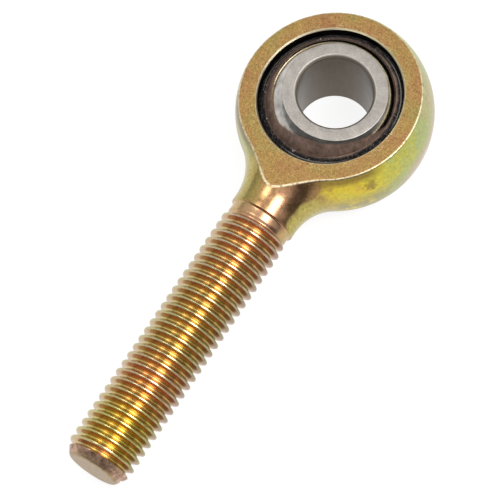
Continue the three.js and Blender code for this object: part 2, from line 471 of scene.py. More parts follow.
def thread_mesh():
    """Helical strip of the thread, cut square at both ends."""
    skin = Skin()
    first = math.floor(THREAD_JOIN / THREAD_PITCH) - 2
    turns = math.ceil(SHANK_END / THREAD_PITCH) + 2 - first
    phases = np.arange(THREAD_PROFILE_STEPS + 1) / THREAD_PROFILE_STEPS
    rows = []
    for step in range(turns * THREAD_SEGMENTS + 1):
        turn = step / THREAD_SEGMENTS
        angle = turn * 2 * math.pi
        along = (first + turn + phases) * THREAD_PITCH
        radius = thread_radius(along, phases)
        points = np.stack([along, radius * math.cos(angle), radius * math.sin(angle)], axis=1)
        rows.append(skin.row(points))
    for one, other in zip(rows, rows[1:]):
        skin.strip(one, other, closed=False)
    mesh = skin.to_bmesh()
    bmesh.ops.remove_doubles(mesh, verts=mesh.verts, dist=MERGE_DISTANCE)
    for place, outward in ((THREAD_JOIN, -1), (TIP_JOIN, 1)):
        bmesh.ops.bisect_plane(
            mesh,
            geom=mesh.verts[:] + mesh.edges[:] + mesh.faces[:],
            plane_co=(place, 0, 0),
            plane_no=(outward, 0, 0),
            clear_outer=True,
        )
    return mesh


def tip_skin():
    """End of the chamfer, its eased edge and the end face."""
    skin = Skin()
    start = TIP_JOIN + TIP_JOIN_GAP
    radius = END_FACE_RADIUS + (SHANK_END - start) * TIP_SLOPE
    angles = np.arange(THREAD_SEGMENTS) * 2 * math.pi / THREAD_SEGMENTS
    circle = np.stack([np.cos(angles), np.sin(angles)], axis=1) * radius
    ring = skin.row(np.column_stack([np.full(THREAD_SEGMENTS, start), circle]))
    lean = math.atan(TIP_SLOPE)
    bend = math.pi / 2 - lean
    outline = []
    for share in np.linspace(0, 1, ARC_STEPS):
        angle = lean + bend * share
        outline.append((
            SHANK_END - END_EDGE * (1 - math.sin(angle)),
            END_FACE_RADIUS - END_EDGE * (math.tan(bend / 2) - math.cos(angle)),
        ))
    outline += [(SHANK_END, END_FACE_RADIUS * share) for share in END_FACE_RINGS]
    ring = add_shank_rings(skin, ring, outline)
    skin.faces.append(tuple(ring))
    return skin


def join_meshes(target, *others):
    """Adds other bmeshes to the target one."""
    for other in others:
        carrier = bpy.data.meshes.new("carrier")
        other.to_mesh(carrier)
        other.free()
        target.from_mesh(carrier)
        bpy.data.meshes.remove(carrier)


def bridge(mesh, low, high):
    """Closes the gap between the two open loops that lie between two places along the shank."""
    loops = [
        edge for edge in mesh.edges
        if edge.is_boundary and all(low < vertex.co.x < high for vertex in edge.verts)
    ]
    bmesh.ops.bridge_loops(mesh, edges=loops)


def body_mesh():
    """Head and neck, thread and tip, bridged into one closed mesh."""
    skin, ring = head_skin()
    add_shank_rings(skin, ring, neck_outline(skin.points[ring[0]][0]))
    mesh = skin.to_bmesh()
    join_meshes(mesh, thread_mesh(), tip_skin().to_bmesh())
    bridge(mesh, THREAD_JOIN - NECK_JOIN_GAP - BRIDGE_REACH, THREAD_JOIN + BRIDGE_REACH)
    bridge(mesh, TIP_JOIN - BRIDGE_REACH, TIP_JOIN + TIP_JOIN_GAP + BRIDGE_REACH)
    return mesh


# ---------------- ball and race

def ball_mesh():
    """Sphere between two faces, with a chamfered bore."""
    edge_angle = BALL_ARC_SHARE * math.asin(BALL_HALF_WIDTH / BALL_RADIUS)
    sphere = arc_points(BALL_RADIUS, edge_angle, -edge_angle, BALL_ARC_STEPS)
    face = math.sqrt(BALL_RADIUS ** 2 - BALL_HALF_WIDTH ** 2)
    upper = [
        (BALL_BORE_RADIUS, BALL_HALF_WIDTH - BALL_BORE_CHAMFER, BALL_BORE_EDGE),
        (BALL_BORE_RADIUS + BALL_BORE_CHAMFER, BALL_HALF_WIDTH, BALL_BORE_EDGE),
        (face, BALL_HALF_WIDTH, BALL_EDGE),
    ]
    corners = mirrored(upper) + upper + [(radius, height, 0) for radius, height in sphere]
    return turned(rounded(corners)).to_bmesh()


def race_mesh():
    """Ring with a spherical seat and a lip, sloping down to the head's bore and keyed into its groove."""
    lip = math.sqrt(RACE_SEAT_RADIUS ** 2 - RACE_LIP_HEIGHT ** 2)
    lip_angle = SEAT_ARC_SHARE * math.asin(RACE_LIP_HEIGHT / RACE_SEAT_RADIUS)
    seat = arc_points(RACE_SEAT_RADIUS, -lip_angle, lip_angle, SEAT_ARC_STEPS)
    wall = HEAD_BORE_RADIUS - RACE_CLEARANCE
    inner_edge, outer_edge = RACE_LIP_EDGES
    upper = [
        (lip, RACE_LIP_HEIGHT, inner_edge),
        (lip + RACE_LIP_WIDTH, RACE_LIP_HEIGHT, outer_edge),
        (wall, RACE_FOOT_HEIGHT, RACE_FOOT_EDGE),
        (wall, GROOVE_MOUTH_HALF_WIDTH - RACE_CLEARANCE, 0),
        (GROOVE_RADIUS - RACE_CLEARANCE, GROOVE_HALF_WIDTH - RACE_CLEARANCE, 0),
    ]
    corners = [(radius, height, 0) for radius, height in seat] + upper + mirrored(upper)
    return turned(rounded(corners)).to_bmesh()


# ---------------- colours of the materials

# Chromate film on the head's sides, from gold through yellow and green to silvery pink; its pale end also
# serves as a painted sheen.
FILM_COLOURS = [
    (0.08, (0.42, 0.25, 0.07)),
    (0.20, (0.62, 0.47, 0.045)),
    (0.32, (0.56, 0.48, 0.06)),
    (0.44, (0.44, 0.44, 0.11)),
    (0.55, (0.38, 0.43, 0.16)),
    (0.66, (0.44, 0.39, 0.18)),
    (0.78, (0.44, 0.37, 0.21)),
    (0.92, (0.56, 0.46, 0.36)),
]
# Flats, from red brown through tan gold to olive.
FLAT_COLOURS = [
    (0.40, (0.36, 0.185, 0.08)),
    (0.47, (0.39, 0.23, 0.088)),
    (0.54, (0.39, 0.25, 0.085)),
    (0.61, (0.35, 0.265, 0.09)),
]
# Neck, from its left side over its top to its right side; the dark brown towards the right is painted shade.
NECK_COLOURS = [
    (0.20, (0.44, 0.37, 0.14)),
    (0.40, (0.38, 0.29, 0.09)),
    (0.50, (0.46, 0.26, 0.12)),
    (0.68, (0.46, 0.25, 0.14)),
    (0.82, (0.22, 0.13, 0.06)),
    (0.90, (0.42, 0.35, 0.10)),
]
# Thread, from its root to its crest.
THREAD_COLOURS = [
    (0.05, (0.53, 0.41, 0.14)),
    (0.22, (0.53, 0.31, 0.14)),
    (0.74, (0.49, 0.25, 0.13)),
    (0.90, (0.47, 0.42, 0.24)),
]
# Factors on the thread's colours, from the undercut to the tip.
SHANK_TINTS = [
    (0.00, (1.12, 0.98, 1.20)),
    (0.20, (1.04, 0.98, 1.05)),
    (0.38, (1.00, 1.01, 0.90)),
    (0.55, (1.00, 1.01, 0.90)),
    (0.66, (1.10, 0.93, 1.05)),
    (0.74, (1.05, 0.98, 0.90)),
    (0.82, (1.04, 1.10, 0.70)),
    (0.93, (1.04, 1.08, 0.75)),
    (0.99, (1.10, 0.88, 1.15)),
]
TURNED_END_COLOURS = [(0.34, (0.17, 0.105, 0.065)), (0.64, (0.62, 0.40, 0.28))]

DULL_OLIVE = (0.26, 0.23, 0.12)
EDGE_SHADOW = (0.13, 0.07, 0.035)
DARK_STAIN = (0.14, 0.09, 0.035)
# Painted sheen on the thread's left side.
PAINTED_LEFT_SHEEN = (0.52, 0.45, 0.27)
UNDERCUT_COPPER = (0.56, 0.33, 0.21)
END_FACE_OLIVE = (0.34, 0.26, 0.135)
# Painted shade on the head's bore wall above the race.
HEAD_BORE_PAINTED_SHADE = (0.035, 0.028, 0.022)
# Worn zinc, also used as a painted highlight on the flat's edge and the bore's bevel.
WORN_ZINC_AND_GLINT = (0.88, 0.82, 0.60)
PALE_SPECK = (0.75, 0.70, 0.60)
BORE_SPARKLE = (0.85, 0.76, 0.60)
DARK_SPOT = (0.05, 0.035, 0.02)

NYLON_BLACK = (0.010, 0.009, 0.010)
NYLON_DARK_BROWN = (0.075, 0.050, 0.038)
NYLON_BROWN = (0.20, 0.135, 0.10)
NYLON_DUST = (0.22, 0.19, 0.17)
NYLON_FLECK = (0.55, 0.50, 0.45)
# Painted glint on the race's slope.
NYLON_PAINTED_GLINT = (0.42, 0.40, 0.36)

GROUND_STEEL = (0.40, 0.37, 0.335)
POLISHED_STEEL = (0.46, 0.44, 0.41)
# Brown low on the ball: grease, and painted shade for the race reflected in it.
OILED_STEEL_AND_SHADE = (0.23, 0.15, 0.11)
BALL_GREASE_AND_SHADE = (0.15, 0.095, 0.072)
# Painted shade in the ball's bore.
BALL_BORE_PAINTED_SHADE = (0.072, 0.050, 0.028)
# Painted shade inside the ball's bore chamfer and a painted glint along its outer edge.
CHAMFER_PAINTED_SHADE = (0.30, 0.25, 0.20)
CHAMFER_PAINTED_GLINT = (0.86, 0.83, 0.77)

# ---------------- where the materials change

# Each fade is a pair: nothing of the surface up to the first millimetre or radian, all of it from the second.
FLAT_FADE = (HEAD_HALF_WIDTH - 0.12, HEAD_HALF_WIDTH - 0.06)
NECK_FADE = (15.5, 20.5)
THREADED_FADE = (COLLAR_END - 0.1, COLLAR_END + 0.1)
UNDERCUT_FADE = (31, 28.5)
TINT_START = 28
TIP_START = SHANK_END - TIP_CHAMFER_LENGTH
TIP_FADE = (TIP_START - 0.2, TIP_START + 0.1)
TIP_SKIN_FADE = (0.12, 0.04)
TIP_WHOLE_FADE = (TIP_START + 0.2, TIP_START + 0.8)
END_FACE_FADE = (SHANK_END - 0.7, SHANK_END - 0.2)
WALL_FADE = (HEAD_BORE_RADIUS + 0.65, HEAD_BORE_RADIUS + 0.45)
WALL_TOP_FADE = (HEAD_HALF_WIDTH - 0.26, HEAD_HALF_WIDTH - 0.32)
BEVEL_FADE = (HEAD_BORE_RADIUS + 0.37, HEAD_BORE_RADIUS + 0.29)
BEVEL_TOP_FADE = (HEAD_HALF_WIDTH - 0.4, HEAD_HALF_WIDTH - 0.3)
SPARKLE_FADE = (HEAD_BORE_RADIUS + 1.85, HEAD_BORE_RADIUS + 0.55)

# The film's place in its colours grows with the turn from the neck and comes back behind FILM_TURN. It is
# further on low on the side, and high on the side that faces away from the camera, towards its pale colours:
# a painted sheen where the side is seen edge-on.
FILM_TURN = 2.2
FILM_START = 0.02
FILM_PER_RADIAN = 0.30
FILM_LOW_SHEEN = 0.34
FILM_FAR_SHEEN = 0.42
LOW_FADE = (2.5, -3)
LOW_TURN_FADE = (0.9, 1.5)
FAR_FADE = (-2, -8)
FAR_HEIGHT_FADE = (-5, 1)
FAR_TURN_FADE = (2.9, 2.3)

# Marks on the side: dull patches below and one stain, with a painted shadow in brown under the flat's edge.
DULL_TURN_FADE = (1.45, 0.95)
SHADOW_HEIGHT_FADE = (4.6, 6.6)
SHADOW_TURN_FADE = (1.2, 0.95)
STAIN_TURN = 0.97
STAIN_HEIGHT = 3.5
STAIN_SCALES = (18.0, 0.62)
STAIN_FADE = (1.4, 0.6)
STAIN_SIDE_FADE = (0, 2)

# Bearing about the shank, in radians: 0 on top, less on its left and more on its right. The thread gets a
# painted sheen on its left and painted shade on its right.
THREAD_LEFT_SHEEN_FADE = (-0.35, -0.8)
THREAD_RIGHT_SHADE_FADE = (0.85, 1.45)
THREAD_RIGHT_PAINTED_SHADE = 0.38

# Race: brown near the ball, paler to one side, with a painted glint in an arc along a ring on its slope.
RACE_BROWN_FADE = (13.7, 13.0)
PALE_BROWN_FADE = (1, 10)
GLINT_INNER_FADE = (13.85, 13.95)
GLINT_OUTER_FADE = (14.12, 14.02)

# Ball: grease and painted shade, brown for the race reflected low on the sphere, climb higher up its side
# towards the shank and the side that faces the camera.
GREASE_AND_SHADE_SIDE = (0.82, 0.57)
GREASE_AND_SHADE_SIDE_FADE = (4, 11.5)
GREASE_AND_SHADE_CLIMB = 2.2
OIL_AND_SHADE_FADE = (8.0, 6.9)
GREASE_AND_SHADE_FADE = (7.6, 6.8)
BALL_FACE_FADE = (BALL_HALF_WIDTH - 0.1, BALL_HALF_WIDTH - 0.04)
BALL_SIDE_FADE = (BALL_HALF_WIDTH - 0.1, BALL_HALF_WIDTH - 0.3)
BALL_BORE_FADE = (BALL_BORE_RADIUS + 0.1, BALL_BORE_RADIUS + 0.05)
CHAMFER_INNER_FADE = (BALL_BORE_RADIUS + 0.02, BALL_BORE_RADIUS + 0.08)
CHAMFER_BRIGHT_FADE = (BALL_BORE_RADIUS + 0.3, BALL_BORE_RADIUS + 0.5)
CHAMFER_END = BALL_BORE_RADIUS + BALL_BORE_CHAMFER
CHAMFER_OUTER_FADE = (CHAMFER_END + 0.04, CHAMFER_END - 0.02)


# ---------------- node trees

class Nodes:
    """Short calls for the nodes that patterns need, in one node tree."""

    def __init__(self, tree):
        self.tree = tree

    def feed(self, socket, value):
        if isinstance(value, bpy.types.NodeSocket):
            self.tree.links.new(value, socket)
        else:
            socket.default_value = value

    def math(self, operation, *values, clamp=False):
        node = self.tree.nodes.new("ShaderNodeMath")
        node.operation = operation
        node.use_clamp = clamp
        for socket, value in zip(node.inputs, values):
            self.feed(socket, value)
        return node.outputs[0]

    def plus(self, one, other):
        return self.math("ADD", one, other)

    def times(self, one, other):
        return self.math("MULTIPLY", one, other)

    def swing(self, pattern, width):
        """A noise pattern moved from about 0.5 to about 0 and made width times as strong."""
        return self.math("MULTIPLY_ADD", pattern, width, -width / 2)

    def length(self, one, other):
        return self.math("SQRT", self.plus(self.times(one, one), self.times(other, other)))

    def vector(self, operation, *values, scale=None):
        node = self.tree.nodes.new("ShaderNodeVectorMath")
        node.operation = operation
        for socket, value in zip(node.inputs, values):
            self.feed(socket, value)
        if scale is not None:
            self.feed(node.inputs["Scale"], scale)
        return node.outputs["Value" if operation == "DOT_PRODUCT" else "Vector"]

    def attribute(self, name):
        node = self.tree.nodes.new("ShaderNodeAttribute")
        node.attribute_name = name
        return node.outputs["Fac"]

    def share(self, low, high, value):
        """0 at low, 1 at high, straight between."""
        return self.math("DIVIDE", self.math("SUBTRACT", value, float(low)), float(high - low), clamp=True)

    def step(self, low, high, value):
        """0 below low, 1 above high, smooth between; low may be above high."""
        node = self.tree.nodes.new("ShaderNodeMapRange")
        node.interpolation_type = "SMOOTHSTEP"
        self.feed(node.inputs["Value"], value)
        node.inputs["From Min"].default_value = min(low, high)
        node.inputs["From Max"].default_value = max(low, high)
        node.inputs["To Min"].default_value = 0 if low < high else 1
        node.inputs["To Max"].default_value = 1 if low < high else 0
        return node.outputs[0]

    def shade(self, colour, pattern, dark, light):
        """A colour made darker and lighter by a noise pattern between about 0.3 and 0.7."""
        factor = self.math("MULTIPLY_ADD", self.share(0.3, 0.7, pattern), light - dark, dark)
        return self.vector("SCALE", colour, scale=factor)

    def mix_node(self, data_type, **values):
        node = self.tree.nodes.new("ShaderNodeMix")
        node.data_type = data_type
        for name, value in values.items():
            self.feed(node.inputs[name], (*value, 1) if isinstance(value, tuple) else value)
        return node.outputs["Result"]

    def mix(self, share, one, other):
        """Colours mixed by a share."""
        return self.mix_node("RGBA", Factor=share, A=one, B=other)

    def blend(self, share, one, other):
        """Numbers mixed by a share."""
        return self.mix_node("FLOAT", Factor=share, A=one, B=other)

    def ramp(self, value, stops):
        """A colour read from (place, colour) stops."""
        node = self.tree.nodes.new("ShaderNodeValToRGB")
        self.feed(node.inputs[0], value)
        elements = node.color_ramp.elements
        while len(elements) < len(stops):
            elements.new(0.5)
        for element, (place, colour) in zip(elements, stops):
            element.position = place
            element.color = (*colour, 1)
        return node.outputs[0]

    def split(self, vector):
        node = self.tree.nodes.new("ShaderNodeSeparateXYZ")
        self.tree.links.new(vector, node.inputs[0])
        return node.outputs


class Finish(Nodes):
    """One material, with millimetre coordinates x, y, z along the given axes of a body."""

    def __init__(self, name, *axes):
        self.material = bpy.data.materials.new(name)
        self.material.use_nodes = True
        super().__init__(self.material.node_tree)
        self.tree.nodes.clear()
        output = self.tree.nodes.new("ShaderNodeOutputMaterial")
        self.shader = self.tree.nodes.new("ShaderNodeBsdfPrincipled")
        self.tree.links.new(self.shader.outputs[0], output.inputs["Surface"])
        if axes:
            place = self.tree.nodes.new("ShaderNodeTexCoord").outputs["Object"]
            place = self.vector("SUBTRACT", place, ball_centre)
            place = self.vector("SCALE", place, scale=1 / MM)
            self.x, self.y, self.z = (self.vector("DOT_PRODUCT", place, axis) for axis in axes)
            self.place = self.stretch(1, 1, 1)

    def stretch(self, *scales):
        """The body's own coordinates, each scaled."""
        node = self.tree.nodes.new("ShaderNodeCombineXYZ")
        for socket, value, scale in zip(node.inputs, (self.x, self.y, self.z), scales):
            self.feed(socket, self.times(value, float(scale)))
        return node.outputs[0]

    def noise(self, scale, detail=2.0, roughness=0.5, place=None, seed=0.0):
        """Noise whose lumps are about 1/scale millimetres across, near 0.5 on average."""
        node = self.tree.nodes.new("ShaderNodeTexNoise")
        node.noise_dimensions = "4D"
        node.inputs["W"].default_value = seed
        self.feed(node.inputs["Vector"], self.place if place is None else place)
        node.inputs["Scale"].default_value = scale
        node.inputs["Detail"].default_value = detail
        node.inputs["Roughness"].default_value = roughness
        return node.outputs[0]

    def bump(self, height, depth=1.0):
        """Bump from a height that stands for depth millimetres at 1."""
        node = self.tree.nodes.new("ShaderNodeBump")
        node.inputs["Distance"].default_value = depth * MM
        self.feed(node.inputs["Height"], height)
        return node.outputs[0]

    def set(self, **values):
        """Feeds the shader's sockets, named in lower case with underscores."""
        for name, value in values.items():
            socket = self.shader.inputs[name.replace("_", " ").title().replace("Ior", "IOR")]
            self.feed(socket, (*value, 1) if isinstance(value, tuple) else value)

    def finished(self):
        """The material, with the shader fed by the colour, metal, roughness and relief methods."""
        self.set(base_color=self.colour(), metallic=self.metal())
        self.set(roughness=self.roughness(), normal=self.relief())
        return self.material


# ---------------- plated steel

class PlatedSteel(Finish):
    """Yellow chromate over zinc: gold flats, iridescent forged sides, coppery neck and thread.

    x runs along the shank, y to its side and z along the head's bore.
    """

    def __init__(self):
        super().__init__("plated_steel", shank_axis, side_axis, head_axis)
        self.height = self.math("ABSOLUTE", self.z)
        self.radial = self.length(self.y, self.z)
        self.rim = self.length(self.x, self.y)
        self.turn = self.math("ABSOLUTE", self.math("ARCTAN2", self.y, self.x))
        self.bearing = self.math("ARCTAN2", self.y, self.height)
        self.wide = self.noise(0.09, detail=2, seed=3.1)
        self.lumps = self.noise(0.35, detail=4, roughness=0.6, seed=5.7)
        self.mottle = self.noise(1.6, detail=4, roughness=0.65, seed=8.2)
        self.grain = self.noise(5.0, detail=3, roughness=0.7, seed=1.4)
        self.on_flat = self.step(*FLAT_FADE, self.height)
        self.on_neck = self.step(*NECK_FADE, self.x)
        self.on_thread = self.step(*THREADED_FADE, self.x)
        self.on_tip = self.tip_share()
        self.low_side = self.step(*LOW_FADE, self.z)

    def tip_share(self):
        """The chamfer as far as it cuts the thread's crests, then everything to the shank's end."""
        cone = self.math("MULTIPLY_ADD", self.x, -TIP_SLOPE, END_FACE_RADIUS + TIP_SLOPE * SHANK_END)
        skin = self.math("SUBTRACT", cone, self.radial)
        cut = self.times(self.step(*TIP_FADE, self.x), self.step(*TIP_SKIN_FADE, skin))
        return self.math("MAXIMUM", cut, self.step(*TIP_WHOLE_FADE, self.x))

    def flats(self):
        """Tan gold that drifts to red brown and olive, with a fine bright and dark grain."""
        drift = self.plus(self.times(self.wide, 0.55), self.times(self.lumps, 0.45))
        gold = self.ramp(drift, FLAT_COLOURS)
        gold = self.shade(gold, self.grain, 0.42, 1.34)
        return self.shade(gold, self.mottle, 0.75, 1.25)

    def film(self):
        """The film's place in its colours: further on round the head, and towards a painted sheen low down
        and on the far side.
        """
        round_head = self.math("PINGPONG", self.turn, FILM_TURN)
        # Painted sheen: low on the side and on the far side, the film runs towards its pale colours as where
        # it is seen edge-on.
        below_sheen = self.times(self.low_side, self.step(*LOW_TURN_FADE, round_head))
        far_sheen = self.times(self.step(*FAR_FADE, self.y), self.step(*FAR_HEIGHT_FADE, self.z))
        far_sheen = self.times(far_sheen, self.step(*FAR_TURN_FADE, self.turn))
        film = self.math("MULTIPLY_ADD", round_head, FILM_PER_RADIAN, FILM_START)
        film = self.plus(film, self.times(below_sheen, FILM_LOW_SHEEN))
        film = self.plus(film, self.times(far_sheen, FILM_FAR_SHEEN))
        film = self.plus(film, self.swing(self.lumps, 0.5))
        return self.plus(film, self.swing(self.wide, 0.4))

    def stain(self):
        """One small dark stain on the side that faces the camera."""
        turn_scale, height_scale = STAIN_SCALES
        along = self.math("MULTIPLY_ADD", self.turn, turn_scale, -turn_scale * STAIN_TURN)
        up = self.math("MULTIPLY_ADD", self.z, height_scale, -height_scale * STAIN_HEIGHT)
        distance = self.plus(self.length(along, up), self.swing(self.mottle, 1.6))
        return self.times(self.step(*STAIN_FADE, distance), self.step(*STAIN_SIDE_FADE, self.y))

    def sides(self):
        """The film's colours, dull in patches below, with a painted shadow in brown under the flat's edge by
        the neck.
        """
        side = self.ramp(self.film(), FILM_COLOURS)
        dull = self.times(self.low_side, self.step(*DULL_TURN_FADE, self.turn))
        dull = self.times(dull, self.step(0.34, 0.52, self.lumps))
        side = self.mix(self.times(dull, 0.75), side, DULL_OLIVE)
        # Painted shadow under the flat's edge by the neck.
        shadow = self.times(self.step(*SHADOW_HEIGHT_FADE, self.z), self.step(*SHADOW_TURN_FADE, self.turn))
        side = self.mix(self.times(shadow, 0.7), side, EDGE_SHADOW)
        side = self.mix(self.times(self.stain(), 0.6), side, DARK_STAIN)
        side = self.shade(side, self.mottle, 0.78, 1.2)
        return self.shade(side, self.grain, 0.85, 1.15)

    def neck(self):
        """Olive on its left, copper brown on top, painted shade in dark brown towards the right, olive again
        beside.
        """
        about = self.plus(self.bearing, self.swing(self.lumps, 1.1))
        # Painted shade: the ramp darkens towards the neck's right side.
        throat = self.ramp(self.share(-math.pi / 2, math.pi / 2, about), NECK_COLOURS)
        throat = self.shade(throat, self.mottle, 0.75, 1.2)
        return self.shade(throat, self.grain, 0.8, 1.25)

    def thread(self):
        """Yellow roots, copper flanks, pale crests; tinted along the shank, with a painted sheen on the left
        and painted shade on the right.
        """
        depth = self.plus(self.radial, self.swing(self.mottle, 0.3))
        thread = self.ramp(self.share(THREAD_MINOR_RADIUS, THREAD_MAJOR_RADIUS, depth), THREAD_COLOURS)
        along = self.plus(self.x, self.swing(self.lumps, 10))
        tint = self.ramp(self.share(TINT_START, SHANK_END, along), SHANK_TINTS)
        thread = self.vector("MULTIPLY", thread, tint)
        thread = self.shade(thread, self.mottle, 0.82, 1.15)
        # Painted sheen: the thread's left side is made paler.
        left_sheen = self.step(*THREAD_LEFT_SHEEN_FADE, self.bearing)
        thread = self.mix(self.times(left_sheen, 0.5), thread, PAINTED_LEFT_SHEEN)
        # Painted shade: the thread's right side is made darker.
        right = self.step(*THREAD_RIGHT_SHADE_FADE, self.bearing)
        light = self.math("MULTIPLY_ADD", right, -THREAD_RIGHT_PAINTED_SHADE, 1.0)
        return self.vector("SCALE", thread, scale=light)

    def turned_end(self):
        """Brown turned steel of the chamfer, more olive on the end face."""
        streaks = self.noise(0.5, detail=4, roughness=0.7, place=self.stretch(1.0, 1.6, 1.6), seed=2.2)
        turned_steel = self.shade(self.ramp(streaks, TURNED_END_COLOURS), self.grain, 0.8, 1.25)
        end = self.step(*END_FACE_FADE, self.x)
        return self.mix(self.times(end, 0.7), turned_steel, END_FACE_OLIVE)

    def worn_and_glints(self, colour):
        """A colour with its edges worn to zinc and painted with a highlight, a painted highlight on the
        bore's bevel, pale specks, sparkle by the bore and dark spots.
        """
        # Painted highlight: the bore's bevel is lit up in the worn zinc colour.
        bevel = self.times(self.step(*BEVEL_FADE, self.rim), self.step(*BEVEL_TOP_FADE, self.height))
        # The flat's edge is worn to zinc, with a painted highlight along it.
        edges = self.times(self.attribute("wear_and_glint"), self.step(0.25, 0.6, self.mottle))
        edges = self.math("MAXIMUM", edges, bevel)
        edges = self.times(edges, self.blend(self.on_thread, 0.75, 0.45))
        colour = self.mix(edges, colour, WORN_ZINC_AND_GLINT)
        specks = self.step(0.66, 0.72, self.noise(2.6, detail=3, roughness=0.7, seed=6.6))
        colour = self.mix(self.times(specks, 0.35), colour, PALE_SPECK)
        near_bore = self.times(self.on_flat, self.step(*SPARKLE_FADE, self.rim))
        near_bore = self.times(near_bore, self.step(0.42, 0.6, self.lumps))
        sparkle = self.times(near_bore, self.step(0.57, 0.66, self.grain))
        colour = self.mix(self.times(sparkle, 0.7), colour, BORE_SPARKLE)
        spots = self.step(0.69, 0.74, self.noise(0.7, detail=3, roughness=0.6, seed=4.4))
        return self.mix(self.times(spots, 0.7), colour, DARK_SPOT)

    def colour(self):
        """Colour of the whole body, one kind of surface laid over another."""
        throat = self.neck()
        copper = self.mix(0.45, throat, UNDERCUT_COPPER)
        thread = self.mix(self.step(*UNDERCUT_FADE, self.x), self.thread(), copper)
        colour = self.mix(self.on_neck, self.sides(), throat)
        colour = self.mix(self.on_thread, colour, thread)
        colour = self.mix(self.on_tip, colour, self.turned_end())
        colour = self.mix(self.on_flat, colour, self.flats())
        # Painted shade: the bore's wall above the race is painted near black, for its shade and the black
        # race it reflects.
        wall = self.times(self.step(*WALL_FADE, self.rim), self.step(*WALL_TOP_FADE, self.height))
        colour = self.mix(wall, colour, self.shade(HEAD_BORE_PAINTED_SHADE, self.grain, 0.3, 2.2))
        return self.worn_and_glints(colour)

    def metal(self):
        return 1.0

    def roughness(self):
        """Satin flats, smoother plating elsewhere."""
        rough = self.blend(self.on_neck, 0.32, 0.22)
        rough = self.blend(self.on_thread, rough, 0.25)
        rough = self.blend(self.on_tip, rough, 0.38)
        rough = self.blend(self.on_flat, rough, 0.5)
        return self.plus(rough, self.swing(self.mottle, 0.2))

    def relief(self):
        """Forged lumps on the sides and fine grain on the flats, as bump in millimetres."""
        fine = self.math("MAXIMUM", self.on_flat, self.times(self.on_neck, 0.5))
        pits = self.blend(fine, self.mottle, self.grain)
        depth = self.blend(self.on_neck, 0.022, 0.016)
        depth = self.blend(self.on_thread, depth, 0.008)
        depth = self.blend(self.on_flat, depth, 0.014)
        return self.bump(self.times(pits, depth))


# ---------------- nylon and bearing steel

def black_nylon():
    """Glass-filled nylon: pale dust in its grain, a painted glint in an arc along its slope, brown near the
    ball.
    """
    finish = Finish("black_nylon", shank_axis, side_axis, head_axis)
    rim = finish.length(finish.x, finish.y)
    grain = finish.noise(3.5, detail=4, roughness=0.75, seed=2.7)
    patches = finish.noise(0.5, detail=3, roughness=0.6, seed=9.5)
    reach = finish.plus(rim, finish.swing(patches, 1.2))
    brown = finish.mix(finish.step(*PALE_BROWN_FADE, finish.y), NYLON_DARK_BROWN, NYLON_BROWN)
    colour = finish.mix(finish.step(*RACE_BROWN_FADE, reach), NYLON_BLACK, brown)
    dust = finish.times(finish.step(0.53, 0.62, grain), finish.step(0.35, 0.55, patches))
    colour = finish.mix(finish.times(dust, 0.75), colour, NYLON_DUST)
    flecks = finish.step(0.64, 0.68, finish.noise(2.4, detail=3, roughness=0.7, seed=5.2))
    colour = finish.mix(finish.times(flecks, 0.8), colour, NYLON_FLECK)
    # Painted glint: a pale arc along a ring on the slope.
    glint_arc = finish.times(finish.step(*GLINT_INNER_FADE, rim), finish.step(*GLINT_OUTER_FADE, rim))
    glint_arc = finish.times(glint_arc, finish.step(0.46, 0.58, finish.noise(0.07, seed=2.9)))
    colour = finish.mix(finish.times(glint_arc, 0.6), colour, NYLON_PAINTED_GLINT)
    normal = finish.bump(grain, 0.3)
    finish.set(base_color=colour, metallic=0.0, roughness=0.85, specular_ior_level=0.12, normal=normal)
    return finish.material


